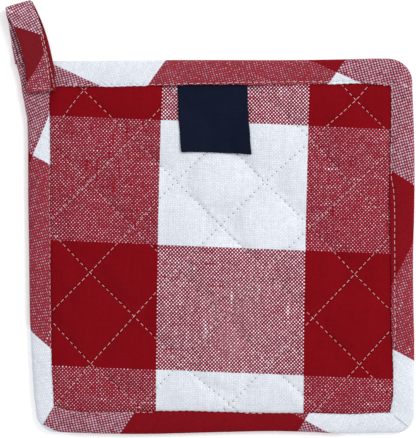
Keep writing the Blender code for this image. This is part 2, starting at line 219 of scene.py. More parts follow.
# material helpers
def feed(tree, node, inputs):
    for socket, value in inputs.items():
        if isinstance(value, bpy.types.NodeSocket):
            tree.links.new(value, node.inputs[socket])
        else:
            node.inputs[socket].default_value = value


def newMaterial(name, roughness, specular):
    material = bpy.data.materials.new(name)
    material.use_nodes = True
    shader = material.node_tree.nodes["Principled BSDF"]
    feed(material.node_tree, shader, {"Roughness": roughness, "Specular IOR Level": specular})
    return material, material.node_tree, shader


def addNode(tree, kind, inputs=None, **settings):
    node = tree.nodes.new("ShaderNode" + kind)
    for name, value in settings.items():
        setattr(node, name, value)
    feed(tree, node, inputs or {})
    return node


def calc(tree, operation, *values):
    return addNode(tree, "Math", dict(enumerate(values)), operation=operation).outputs[0]


def sums(tree):
    # short names for a tree's commonest sums: times, plus, less and times-then-plus
    return [partial(calc, tree, kind) for kind in ("MULTIPLY", "ADD", "SUBTRACT", "MULTIPLY_ADD")]


def mapRange(tree, value, low, high, toLow, toHigh, kind="SMOOTHSTEP"):
    inputs = {"Value": value, "From Min": low, "From Max": high, "To Min": toLow, "To Max": toHigh}
    return addNode(tree, "MapRange", inputs, interpolation_type=kind).outputs[0]


def mixColours(tree, share, first, second, blend="MIX"):
    node = addNode(tree, "Mix", {0: share, 6: first, 7: second}, data_type="RGBA", blend_type=blend)
    return node.outputs[2]


def noiseAt(tree, place, scale, detail=2.0, roughness=0.5):
    inputs = {"Vector": place, "Scale": scale, "Detail": detail, "Roughness": roughness}
    return addNode(tree, "TexNoise", inputs).outputs


def mapNodes(tree, name):
    return addNode(tree, "SeparateXYZ", {0: addNode(tree, "UVMap", uv_map=name).outputs[0]}).outputs


def parts(tree, colour):
    return addNode(tree, "SeparateColor", {0: colour}).outputs


def shaded(tree, colour, tone):
    grey = addNode(tree, "CombineColor", {0: tone, 1: tone, 2: tone}).outputs[0]
    return mixColours(tree, 1.0, colour, grey, "MULTIPLY")


# the woven check: threads are counted from a block's edge, so a block changes on a thread
checkCloth = dict(
    warpThreads=86, weftThreads=69,  # in one block
    red=(0.206, 0.0026, 0.0067), brightRed=(0.28, 0.006, 0.015), white=(0.71, 0.745, 0.81),
    # in mixed blocks the pale threads get a painted highlight on their tops and painted shade with painted
    # red reflection on their flanks
    crestHighlight=(0.96, 0.89, 0.98), flankShadeAndBounce=(0.51, 0.085, 0.19), wander=0.24, warpShows=0.18, redShows=0.22,
    slubs=0.32, knots=0.45, looseness=0.26, glint=0.38, threadShade=0.20, seamShade=0.72,
)


def weaveNodes(tree, cloth):
    times, plus, less, timesPlus = sums(tree)
    where = addNode(tree, "TexCoord").outputs["Object"]
    threads = mapNodes(tree, "weave")
    bend = parts(tree, noiseAt(tree, where, 330.0)["Color"])
    fine = parts(tree, noiseAt(tree, where, 1500.0, 1.0)["Color"])

    def strand(way):
        # a count of threads that wanders a little, slowly and quickly
        slow = timesPlus(less(bend[way], 0.5), 2.2 * cloth["wander"], threads[way])
        return timesPlus(less(fine[way], 0.5), cloth["wander"], slow)

    warp, weft = strand(0), strand(1)
    warpCount, weftCount = calc(tree, "FLOOR", warp), calc(tree, "FLOOR", weft)

    def redBlock(count, size):
        return calc(tree, "PINGPONG", calc(tree, "FLOOR", calc(tree, "DIVIDE", count, size)), 1.0)

    warpRed = redBlock(warpCount, cloth["warpThreads"])
    weftRed = redBlock(weftCount, cloth["weftThreads"])

    def uneven(count, along, seed):
        # thick and thin places that run along one thread
        place = addNode(tree, "CombineXYZ", {0: times(count, 5.31), 1: times(along, 0.045), 2: seed})
        return noiseAt(tree, place.outputs[0], 1.0, 3.0, 0.6)["Fac"]

    warpUneven, weftUneven = uneven(warpCount, weft, 2.0), uneven(weftCount, warp, 17.0)
    crossing = times(*(calc(tree, "SINE", times(way, pi)) for way in (warp, weft)))
    slub = times(less(warpUneven, weftUneven), cloth["slubs"])
    knot = less(*(mapRange(tree, way, 0.62, 0.74, 0.0, cloth["knots"])
        for way in (warpUneven, weftUneven)))
    redOver = timesPlus(less(warpRed, weftRed), cloth["redShows"], cloth["warpShows"])
    cell = addNode(tree, "CombineXYZ", {0: warpCount, 1: weftCount, 2: 0.5}).outputs[0]
    chance = parts(tree, addNode(tree, "TexWhiteNoise", {"Vector": cell}).outputs["Color"])
    height = plus(plus(crossing, slub), plus(knot, redOver))
    height = timesPlus(less(chance[0], 0.5), cloth["looseness"], height)
    warpUp = mapRange(tree, height, -0.10, 0.10, 0.0, 1.0)
    raised = mapRange(tree, calc(tree, "ABSOLUTE", height), 0.0, 0.7, 0.0, 1.0)
    mixed = calc(tree, "ABSOLUTE", less(warpRed, weftRed))
    lit = mapRange(tree, chance[1], 0.0, 1.0, 1.0 - cloth["glint"], 1.0, "LINEAR")
    # painted highlight on the raised tops of pale threads, painted shade and painted red reflection on their
    # flanks
    pale = mixColours(tree, times(raised, lit), (*cloth["flankShadeAndBounce"], 1.0), (*cloth["crestHighlight"], 1.0))
    pale = mixColours(tree, mixed, (*cloth["white"], 1.0), pale)
    deep = mixColours(tree, mixed, (*cloth["red"], 1.0), (*cloth["brightRed"], 1.0))

    def threadColour(isRed, unevenness):
        tone = mapRange(tree, unevenness, 0.25, 0.75, 0.92, 1.08, "LINEAR")
        return shaded(tree, mixColours(tree, isRed, pale, deep), tone)

    colour = mixColours(tree, warpUp, threadColour(weftRed, weftUneven), threadColour(warpRed, warpUneven))
    depth = timesPlus(mixed, cloth["seamShade"] - cloth["threadShade"], cloth["threadShade"])
    shade = less(1.0, times(depth, less(1.0, raised)))
    cloudy, grainy = noiseAt(tree, where, 42.0, 3.0)["Fac"], noiseAt(tree, where, 620.0)["Fac"]
    shade = times(shade, mapRange(tree, cloudy, 0.3, 0.7, 0.965, 1.035, "LINEAR"))
    shade = times(shade, mapRange(tree, grainy, 0.3, 0.7, 0.95, 1.05, "LINEAR"))
    return colour, shade, raised, where


def sewingNodes(tree, counted, away, period, holeSize):
    # needle holes, darkened by painted shade, and the dip of the cloth round them, from a stitch count and a
    # distance
    times, plus = sums(tree)[:2]
    along = times(calc(tree, "PINGPONG", counted, 0.5), period)
    reach = calc(tree, "SQRT", plus(calc(tree, "POWER", along, 2.0), calc(tree, "POWER", away, 2.0)))
    hole = mapRange(tree, reach, holeSize * 0.45, holeSize * 1.25, 1.0, 0.0)
    groove = mapRange(tree, away, 0.0, 1.1, 1.0, 0.0)
    wave = calc(tree, "COSINE", times(counted, 2 * pi))
    return hole, groove, times(mapRange(tree, away, 0.2, 2.6, 1.0, 0.0), wave)


def checkMaterial(name, sewing, **changes):
    material, tree, shader = newMaterial(name, 0.88, 0.04)
    times, plus, less, timesPlus = sums(tree)
    colour, shade, raised, where = weaveNodes(tree, {**checkCloth, **changes})
    if sewing is quilting:
        lines = mapNodes(tree, "quilt")
        found = []
        for across, along in ((0, 1), (1, 0)):
            line = calc(tree, "ROUND", lines[across])
            away = times(calc(tree, "ABSOLUTE", less(lines[across], line)), sewing["edgeLength"])
            counted = plus(times(lines[along], sewing["stitchesPerEdge"]),
                times(line, sewing["lineOffset"][across]))
            period = sewing["edgeLength"] / sewing["stitchesPerEdge"]
            found.append(sewingNodes(tree, counted, away, period, sewing["holeSize"]))
        (hole, groove, pucker), (otherHole, otherGroove, otherPucker) = found
        hole, groove = calc(tree, "MAXIMUM", hole, otherHole), calc(tree, "MAXIMUM", groove, otherGroove)
        pucker = plus(pucker, otherPucker)
    else:
        rows = mapNodes(tree, "sewing")
        away = calc(tree, "ABSOLUTE", rows[1])
        hole, groove, pucker = sewingNodes(tree, rows[0], away, sewing["stitchPeriod"], sewing["holeSize"])
    # painted shade in the needle holes
    shade = times(shade, mapRange(tree, hole, 0.0, 1.0, 1.0, sewing["holeShade"], "LINEAR"))
    fuzz = noiseAt(tree, where, 2600.0)["Fac"]
    height = timesPlus(fuzz, 0.35, raised)
    weave = addNode(tree, "Bump", {"Strength": 0.35, "Distance": 0.00012, "Height": height}).outputs[0]
    dip = timesPlus(hole, -0.6, plus(times(groove, -0.20), times(pucker, -0.22)))
    dipped = addNode(tree, "Bump", {"Strength": 0.8, "Distance": 0.0005, "Height": dip, "Normal": weave})
    feed(tree, shader, {"Base Color": shaded(tree, colour, shade), "Normal": dipped.outputs[0],
        "Roughness": mapRange(tree, fuzz, 0.3, 0.7, 0.82, 0.94, "LINEAR")})
    return material


# quilted pad: its sewn lines cross at whole numbers of this slanting grid
quilting = dict(
    columns=((-62.1, 0.0), (-39.5, 0.2), (-16.8, 0.6), (6.6, 0.6), (29.5, 0.0), (53.5, -0.8), (76.1, -1.7)),
    rows=((64.3, -0.5), (40.9, 0.0), (18.0, -0.4), (-4.2, -0.5), (-28.1, -0.2), (-51.8, 0.6), (-76.6, 1.6),
        (-99.0, 3.4)),
    # crossings that slipped off that grid: (column, row, shift in x, shift in y)
    strays=((0, 0, -2.4, 1.6), (4, 0, 0.3, -1.5), (6, 0, 0.9, -1.7), (6, 2, -0.7, -0.5), (1, 3, 0.4, -1.3),
        (3, 3, 0.0, -0.7), (0, 4, 0.4, -0.7), (0, 6, -0.9, 0.2), (6, 6, 0.7, 1.4), (3, 7, 1.0, 0.9)),
    strayReach=0.85, edgeLength=32.5, stitchesPerEdge=10.3, lineOffset=(0.37, 0.61), sink=(0.02, 0.10),
    holeSize=0.31, holeShade=0.20,
)
padShape = dict(
    firstDiamond=(-1, -5), diamonds=9, cells=14, crowding=0.5,
    rim=3.4, channel=4.35, crown=5.95, spread=0.25, roundness=0.4, rimSlope=3.2,
    underCuff=5.5, groove=0.8, tuck=0.8, tuckSlope=6.0,
    pressure=2.6, slack=-0.02, frames=20, mostSwell=0.8,
)
checkPlaces = dict(
    warpEdge=-26.61, warpPitch=76.82, warpLean=0.01888, warpBow=9.6e-5, warpMiddle=-17.19,
    weftEdge=49.48, weftPitch=64.97, weftLean=0.04, weftMiddle=0.625,
    backShift=(38.0, 21.0),  # the back is another cut of the same cloth
)
labelShape = dict(
    corners=dict(
        topLeft=(-16.3, 73.8), topRight=(20.1, 74.4), bottomRight=(22.2, 33.25), bottomLeft=(-14.5, 33.35)),
    cells=(30, 34), thickness=0.55, lift=0.35, bow=0.4, sewnAbove=73.5, flat=(36.0, 41.0),
    covers=(-14.8, 21.1), coversAbove=35.0, navy=(0.0040, 0.0066, 0.0200),
)


def countThreads(warp, weft):
    # threads from blocks
    return warp * checkCloth["warpThreads"], weft * checkCloth["weftThreads"]


def stretched(place, table, column):
    # a table's value, carried on at the same pace past its ends
    values = [row[column] for row in table]
    last = len(values) - 1
    inside = min(max(place, 0), last)
    value = float(np.interp(inside, range(len(values)), values))
    if column == 0:
        pace = values[1] - values[0] if place < 0 else values[-1] - values[-2]
        value += (place - inside) * pace
    return value


def quiltPlace(p, q):
    column, row = p + q, p - q
    x = stretched(column, quilting["columns"], 0) + stretched(row, quilting["rows"], 1)
    y = stretched(row, quilting["rows"], 0) + stretched(column, quilting["columns"], 1)
    for strayColumn, strayRow, shiftX, shiftY in quilting["strays"]:
        away = hypot(column - strayColumn, row - strayRow)
        share = exp(-((away / quilting["strayReach"]) ** 2))
        x, y = x + shiftX * share, y + shiftY * share
    return x, y


def overLabel(x, margin):
    left, right = labelShape["corners"]["topLeft"][0], labelShape["corners"]["topRight"][0]
    outside = max(left - x, x - right, 0.0)
    return 1 - ease((outside - margin) / margin)


def padTop(p, q, inside, x, y):
    shape = padShape
    rim, slope = shape["rim"], shape["rimSlope"]
    if y > outline["inner"]["top"] - 12:
        tucked = overLabel(x, 4.5)
        rim -= shape["tuck"] * tucked
        slope += (shape["tuckSlope"] - slope) * tucked
    crown = shape["crown"] + shape["spread"] * sin(3.1 * floor(p) + 1.9 * floor(q))
    fullness = abs(sin(pi * p) * sin(pi * q)) ** shape["roundness"]
    height = shape["channel"] + (crown - shape["channel"]) * fullness
    return height + (rim - height) * exp(-max(inside, 0.0) / slope)


def padUnder(p, q, inside):
    fullness = abs(sin(pi * p) * sin(pi * q))
    groove = padShape["groove"] * max(1 - fullness / 0.35, 0.0) ** 2
    return max(groove, 1.3 * (1 - ease(inside / padShape["rimSlope"])))


def weaveOnPad(x, y):
    # threads counted across the pad, where the blocks lean and bow a little as laid
    places = checkPlaces
    up = y - places["warpMiddle"]
    warp = x - (places["warpEdge"] + places["warpLean"] * up + places["warpBow"] * up * up)
    weft = places["weftEdge"] - y - places["weftLean"] * (x - places["weftMiddle"])
    return countThreads(warp / places["warpPitch"], weft / places["weftPitch"])


def makePad():
    shape = padShape
    count = shape["diamonds"] * shape["cells"]
    pad, grid = gridPiece("quiltedPad", count, count)

    def placeOnLine(share):
        step, part = divmod(share * shape["diamonds"] + 1e-6, 1.0)
        return step + part - shape["crowding"] * sin(2 * pi * part) / (2 * pi)

    firstP, firstQ = shape["firstDiamond"]
    slanting = [(firstP + placeOnLine(a), firstQ + placeOnLine(b)) for a, b, _ in grid]
    writePoints(pad, [(*quiltPlace(p, q), 0.0) for p, q in slanting])
    writeMapAtPoints(pad, "quilt", slanting)
    print("pad grid", len(pad.data.vertices))

    # cut to its four sides, which stay under the binding
    makeActive(pad)
    bpy.ops.object.mode_set(mode="EDIT")
    for side, way in dict(left=(-1, 0, 0), right=(1, 0, 0), bottom=(0, -1, 0), top=(0, 1, 0)).items():
        reach = abs(outline["inner"][side] + sum(way) * shape["underCuff"])
        bpy.ops.mesh.select_all(action="SELECT")
        bpy.ops.mesh.bisect(plane_co=[c * reach * mm for c in way], plane_no=way, clear_outer=True)
    bpy.ops.mesh.select_all(action="SELECT")
    bpy.ops.mesh.normals_make_consistent(inside=False)
    bpy.ops.object.mode_set(mode="OBJECT")
    if pad.data.polygons[0].normal.z < 0:
        pad.data.flip_normals()
    topCount = len(pad.data.vertices)
    applyModifier(pad, "SOLIDIFY", thickness=3 * mm, offset=-1.0)
    print("pad cut and doubled", topCount, len(pad.data.vertices))

    lines = np.zeros((len(pad.data.vertices), 2))
    lines[cornerVertices(pad)] = readMap(pad, "quilt")
    points = readPoints(pad)
    pinned = []
    for n, (point, (p, q)) in enumerate(zip(points, lines)):
        inside = depthInside(point[0], point[1])
        onTop = n < topCount
        point[2] = padTop(p, q, inside, point[0], point[1]) if onTop else padUnder(p, q, inside)
        if not onTop or inside < 1.0 or min(abs(p - round(p)), abs(q - round(q))) < 0.004:
            pinned.append(n)
    writePoints(pad, points)
    swell(pad, pinned, points)
    applyModifier(pad, "SUBSURF", levels=1, render_levels=1, uv_smooth="NONE")
    points = readPoints(pad)
    points[:, 2] = np.maximum(points[:, 2], 0.0)
    writePoints(pad, points)
    threads = np.array([weaveOnPad(x, y) for x, y, _ in points])
    threads[[v.normal.z < -0.3 for v in pad.data.vertices]] += checkPlaces["backShift"]
    writeMapAtPoints(pad, "weave", threads)
    return pad


def swell(pad, pinned, rest):
    # the wadding pushes the top cloth up between the sewn lines, which stay put
    shape = padShape
    pad.vertex_groups.new(name="sewn").add(pinned, 1.0, "REPLACE")
    makeActive(pad)
    cloth = pad.modifiers.new("wadding", "CLOTH")
    feel = dict(
        vertex_group_mass="sewn", quality=6, mass=0.15, tension_stiffness=15, compression_stiffness=15,
        shear_stiffness=5, bending_stiffness=0.05, shrink_min=shape["slack"], shrink_max=shape["slack"],
        use_pressure=True, uniform_pressure_force=shape["pressure"],
    )
    for name, value in feel.items():
        setattr(cloth.settings, name, value)
    cloth.settings.effector_weights.gravity = 0
    cloth.collision_settings.use_collision = False
    cloth.point_cache.frame_start, cloth.point_cache.frame_end = 1, shape["frames"]
    for step in range(1, shape["frames"] + 1):
        bpy.context.scene.frame_set(step)
    bpy.ops.object.modifier_apply(modifier="wadding")
    bpy.context.scene.frame_set(1)
    moved = readPoints(pad) - rest
    far = np.linalg.norm(moved, axis=1)
    print("swell: most", round(float(far.max()), 2), "mm")
    most = shape["mostSwell"]
    moved *= (most * np.tanh(far / most) / np.maximum(far, 1e-9))[:, None]
    writePoints(pad, rest + moved)
    pad.vertex_groups.clear()


pad = makePad()
finishPiece(pad, checkMaterial("checkQuilted", quilting), "quilted_pad")
print("pad done", len(pad.data.polygons))

# edge binding: a bias strip folded over the pad's edge
bindingShape = dict(
    spacing=0.95, cornerSpacing=0.55, cornerReach=14.0, firstStep=0.22,
    height=4.7, lip=1.0, bulge=0.32, mitreStep=0.26, turnsAt=12,
    stitchPeriod=3.35, holeSize=0.24, holeShade=0.5,
    stitchInset=dict(
        top=((-90, 1.1), (14, 1.1), (30, 1.6), (58, 1.6), (72, 1.2)),
        bottom=((-90, 0.4), (100, 0.4)), left=((-110, 0.4), (80, 0.4)),
        right=((-76, 0.5), (-66, 1.9), (-45, 1.9), (-22, 2.1), (-12, 2.35), (6, 2.7), (13, 2.5), (19, 2.1),
            (26, 1.0), (36, 0.6), (60, 0.6)),
    ),
    # where the row hides: under the loop, and in the ditch along the bottom but for these parts
    loopCorner=(-79.0, 63.5), ditchBelow=-98.0, shown=((-150, -28), (19, 29)),
    pull=0.08, rise=0.95,
    # where a block of warp or of weft begins along the strip, in photo pixels: at its outer edge and
    # as far in as this
    inward=23.0,
    warpPlaces=((165.7, 149.6), (345.7, 329.2), (537.5, 523.4), (712.7, 700.5), (899.5, 886), (1077, 1061.6),
        (1268.6, 1248), (1446.5, 1434), (1629, 1615)),
    weftPlaces=((46.1, 95), (309.2, 357.5), (594, 639), (867.7, 914), (1138.3, 1184), (1432.5, 1486),
        (1713, 1759)),
    warpPitch=183.0, weftPitch=278.0,
)
noRow = 50.0  # a distance from any row of stitches at which none shows


def borderStations():
    # points round the straight outer rectangle, clockwise from its top left corner, and their sides
    shape = bindingShape

    def places(low, high):
        place, found = low, []
        while place < high - shape["cornerSpacing"] / 2:
            found.append(place)
            near = min(place - low, high - place)
            usual = shape["cornerSpacing"] if near < shape["cornerReach"] else shape["spacing"]
            place += shape["firstStep"] if place == low else usual
        return found + [high - 0.02]

    left, right, bottom, top = (outline["outer"][side] for side in ("left", "right", "bottom", "top"))
    found = [(x, top, "top") for x in places(left, right)]
    found += [(right, top + bottom - y, "right") for y in places(bottom, top)]
    found += [(left + right - x, bottom, "bottom") for x in places(left, right)]
    return found + [(left, y, "left") for y in places(bottom, top)]


def bindingSection(width, inset, rise, lift, pull):
    # the folded strip's cut end: (in from the outline, height, on the outer skin)
    top, lip = bindingShape["height"], bindingShape["lip"]
    under, bulge = top - lip, bindingShape["bulge"]
    row = width - inset
    skin = [
        (width - 0.02, under + 0.12 + rise), (width, under + 0.5 + rise),
        (width - min(0.16, inset * 0.25), top - 0.12 + rise), (row + inset * 0.5, top + rise),
        (row + min(0.32, inset * 0.25), top - 0.04 - pull * 0.5 + rise), (row, top - 0.1 - pull + rise),
        (row - 0.35, top - 0.04 - pull * 0.4 + rise), (row - 1.1, top + bulge * 0.55 + rise * 0.9),
        (width * 0.66, top + bulge + rise * 0.75 + lift), (width * 0.5, top + bulge + rise * 0.5 + lift),
        (width * 0.36, top + bulge * 0.8 + rise * 0.3 + lift), (width * 0.24, top + bulge * 0.35 + lift),
        (1.6, top - 0.22 + lift), (0.9, top - 0.62 + lift * 0.6), (0.38, top * 0.74), (0.08, top * 0.58),
        (0.0, top * 0.46), (0.1, top * 0.33), (0.42, top * 0.19), (0.95, 0.38), (1.7, 0.1), (2.8, 0.0),
        (width * 0.5, 0.0), (row - 0.6, 0.02), (row, 0.14), (width - 0.5, 0.05), (width - 0.12, 0.2),
        (width, 0.55), (width - 0.04, lip - 0.1),
    ]
    lining = [
        (width - 0.5, lip), (width * 0.5, lip), (2.5, lip), (1.5, top * 0.29), (1.15, top * 0.5),
        (1.5, top * 0.7), (2.5, under), (width * 0.36, under + rise * 0.35),
        (width * 0.62, under + rise * 0.7), (width - 0.6, under + rise),
    ]
    return [(d, h, True) for d, h in skin] + [(d, h, False) for d, h in lining]


def stripPlace(side, x, y):
    # a plan place as pixels along the whole strip and in from its outer edge
    px, py = x / pixel + photoMiddle[0], photoMiddle[1] - y / pixel
    outer = outline["outer"]
    if side in ("top", "bottom"):
        edge = bowed("outer", x, outer[side])[1]
        return (px, (edge - y) / pixel) if side == "top" else (1197 - px, (y - edge) / pixel)
    edge = bowed("outer", outer[side], y)[0]
    return (412 + py - 60, (edge - x) / pixel) if side == "right" else (1599 - py, (x - edge) / pixel)


def countBlocks(value, inward, pairs, pitch):
    share = inward / bindingShape["inward"]
    places = [outer + (inner - outer) * share for outer, inner in pairs]
    last = len(places) - 1
    if value < places[0]:
        return (value - places[0]) / pitch
    if value > places[-1]:
        return last + (value - places[-1]) / pitch
    return float(np.interp(value, places, range(last + 1)))


def weaveOnStrip(along, inward):
    shape = bindingShape
    warp = countBlocks(along, inward, shape["warpPlaces"], shape["warpPitch"]) - 1
    weft = countBlocks(along, inward, shape["weftPlaces"], shape["weftPitch"])
    return countThreads(warp, weft)


def makeBinding():
    shape = bindingShape
    stations = borderStations()
    sides = outline["outer"]
    points, places, rowPlaces, along = [], [], [], 0.0
    for x, y, side in stations:
        outer, inner = np.array(outerEdge(x, y)), np.array(innerEdge(x, y))
        width = float(np.linalg.norm(inner - outer))
        inward = (inner - outer) / width
        horizontal = side in ("top", "bottom")
        # how far the station is from the corner before it and from the one after it
        length = (sides["right"] - sides["left"]) if horizontal else (sides["top"] - sides["bottom"])
        travelled = {"top": x - sides["left"], "right": sides["top"] - y, "bottom": sides["right"] - x,
            "left": y - sides["bottom"]}[side]
        lift = shape["mitreStep"] * exp(-(length - travelled) / 4.5) - 0.22 * exp(-travelled / 1.1)
        inset = readCurve(shape["stitchInset"][side], x if horizontal else y)
        inset /= max(abs(inward[1 if horizontal else 0]), 0.5)
        nearLine = inner - inward * inset
        if rowPlaces:
            along += float(np.linalg.norm(nearLine - rowPlaces[-1][1]))
        counted = along / shape["stitchPeriod"]
        rowPlaces.append((counted, nearLine))
        pull = shape["pull"] * (0.65 + 0.35 * cos(2 * pi * counted))
        rise = shape["rise"] * overLabel(inner[0], 5.0) if side == "top" else 0.0
        scallop = 0.14 * cos(2 * pi * counted + 0.6) + 0.22 * drift(*inner, 3, 9)
        section = bindingSection(width + scallop, inset + scallop, rise, lift, pull)
        rolled = 0.0
        for k, (depth, height, onSkin) in enumerate(section):
            place = outer + inward * depth
            if onSkin and 1.2 < depth < width - 1.5 and height > 2.5:
                height += 0.16 * drift(*place, 5, 11)
                slant = (travelled + depth * 0.9) / 5.6 if horizontal else (travelled - depth * 0.9) / 5.2
                height += 0.055 * sin(2 * pi * slant + 3 * drift(*place, 9, 30))
            points.append((*place, max(height, 0.0)))
            last = section[max(k - 1, 0)]
            step = hypot(depth - last[0], height - last[1])
            rolled = rolled + step if k > shape["turnsAt"] else 0.0
            places.append((counted, width - inset - depth if onSkin else noRow, rolled))
    size, total = len(section), len(stations)
    faces, corners, sewing = [], [], []
    for n in range(total):
        here, ahead = n * size, (n + 1) % total * size
        for k in range(size):
            beside = (k + 1) % size
            ring = (here + k, ahead + k, ahead + beside, here + beside)
            faces.append(ring)
            for index in ring:
                x, y, z = points[index]
                lengthwise, inward = stripPlace(stations[n][2], x, y)
                counted, fromRow, rolled = places[index]
                if rolled:  # down the side and under, the threads go on from where the strip turns
                    turn = points[index - index % size + shape["turnsAt"]]
                    inward = stripPlace(stations[n][2], *turn[:2])[1] - rolled / pixel
                corners.append(weaveOnStrip(lengthwise, inward))
                sewing.append((places[here + k][0] if ahead == 0 else counted, fromRow))
    piece = meshPiece("edgeBinding", points, faces)
    writeMap(piece, "weave", corners)
    writeMap(piece, "sewing", sewing)
    return piece, rowPlaces


binding, bindingRow = makeBinding()
# on the bias strip the pale threads' painted highlight is dimmer and their painted shade pinker, so the check
# shows less contrast
biasCloth = dict(red=(0.205, 0.0046, 0.0098), crestHighlight=(0.58, 0.41, 0.52), flankShadeAndBounce=(0.59, 0.34, 0.43),
    brightRed=(0.30, 0.017, 0.030), warpShows=0.23, redShows=0.24, looseness=0.44, glint=0.3)
# the loop's red is greyer than the pad's, a painted sheen
loopCloth = dict(red=(0.180, 0.0093, 0.0145), crestHighlight=(0.76, 0.60, 0.71), flankShadeAndBounce=(0.61, 0.31, 0.41),
    brightRed=(0.29, 0.022, 0.040), warpShows=0.22, redShows=0.20, looseness=0.5, glint=0.4)
finishPiece(binding, checkMaterial("checkBias", bindingShape, **biasCloth), "edge_binding")
print("binding done", len(binding.data.polygons))

# hanging loop: the strip folded lengthwise, turned over at the top and sewn down on the corner
loopShape = dict(
    width=14.4, endWidth=15.2, thickness=1.8, upperShort=(0.7, 2.6), foldRadius=3.6, foldSteps=22,
    spacing=0.9, turnedEnd=5.0, turnedThickness=2.5, startThickness=4.5, startReach=13.0, foldsAt=11,
    backRun=((-93.8, 80.0), (-94.3, 83.4), (-95.8, 92.2), (-97.4, 102.6), (-98.5, 107.0)),
    frontRun=((-97.2, 107.0, 6.7), (-93.6, 98.8, 7.5), (-90.5, 89.6, 7.5), (-88.4, 80.2, 6.9),
        (-87.6, 74.0, 6.45), (-86.9, 64.8, 6.4)),
    warpStart=31.6, warpLean=-0.775, warpPitch=177.5, weftStart=66.8, weftLean=1.307, weftPitch=196.0,
    slip=14.8, stitchPeriod=3.0, holeSize=0.3, holeShade=0.5,
)


def unit(vector):
    return vector / np.linalg.norm(vector)


def smoothPath(knots, spacing):
    knots = [np.array(knot, float) for knot in knots]
    before = [2 * knots[0] - knots[1]] + knots[:-1]
    after = knots[1:] + [2 * knots[-1] - knots[-2]]
    found = [knots[0]]
    for k in range(len(knots) - 1):
        start, end = knots[k], knots[k + 1]
        pull, push = (end - before[k]) / 2, (after[k + 1] - start) / 2
        steps = max(round(float(np.linalg.norm(end - start)) / spacing), 1)
        for step in range(1, steps + 1):
            t = step / steps
            found.append((2 * t**3 - 3 * t**2 + 1) * start + (t**3 - 2 * t**2 + t) * pull
                + (3 * t**2 - 2 * t**3) * end + (t**3 - t**2) * push)
    return found


def loopPath():
    shape = loopShape
    low = shape["thickness"] / 2
    back = [np.append(point, low) for point in smoothPath(shape["backRun"], shape["spacing"])]
    front = smoothPath(shape["frontRun"], shape["spacing"])
    backAhead, frontAhead = unit(back[-1][:2] - back[-2][:2]), unit(front[0][:2] - front[1][:2])
    rise = (front[0][2] - low) / 2
    fold, foldAhead = [], []
    for step in range(1, shape["foldSteps"]):
        share = step / shape["foldSteps"]
        turn = pi * share
        ahead = unit(backAhead + (frontAhead - backAhead) * share**3)
        place = back[-1][:2] + (front[0][:2] - back[-1][:2]) * share + ahead * shape["foldRadius"] * sin(turn)
        fold.append(np.append(place, low + rise * (1 - cos(turn))))
        foldAhead.append(ahead)
    aheads = [unit(v) for v in np.gradient(np.array(back), axis=0)[:, :2]] + foldAhead
    aheads += [unit(-v) for v in np.gradient(np.array(front), axis=0)[:, :2]]
    aheads[0] = np.array((0.0, 1.0))
    return np.array(back + fold + front), aheads, len(back) + len(fold) // 2


def loopSection(width, thickness, short):
    # (sideways, towards the seen face): the skin from the lower half round the fold to the upper half,
    # and then the lining back between the halves
    half, layer = width / 2, thickness / 2
    upper = half - short
    gap = 0.06
    skin = [
        (half - 0.02, -0.18 * layer), (half, -0.5 * layer), (half - 0.22, -0.88 * layer),
        (half - 0.8, -layer), (half * 0.6, -layer), (half * 0.2, -layer), (-half * 0.2, -layer),
        (-half * 0.6, -layer), (0.7 - half, -layer), (0.2 - half, -0.72 * layer), (-half, -0.3 * layer),
        (-half - 0.04, 0.1 * layer), (0.04 - half, 0.5 * layer), (0.3 - half, 0.84 * layer),
        (0.9 - half, layer), (-half * 0.6, layer), (-half * 0.2, layer), (half * 0.2, layer),
        (upper - 2.2, layer * 1.03), (upper - 1.3, layer * 0.86), (upper - 0.7, layer),
        (upper - 0.2, layer * 0.9), (upper, layer * 0.55), (upper - 0.04, layer * 0.2),
    ]
    lining = [
        (upper - 0.3, gap), (half * 0.2, gap), (-half * 0.4, gap), (1.0 - half, gap), (1.0 - half, -gap),
        (-half * 0.4, -gap), (half * 0.2, -gap), (upper, -gap), (upper + 0.5, -gap), (half - 0.9, -gap),
        (half - 0.3, -gap * 1.4),
    ]
    return skin, lining


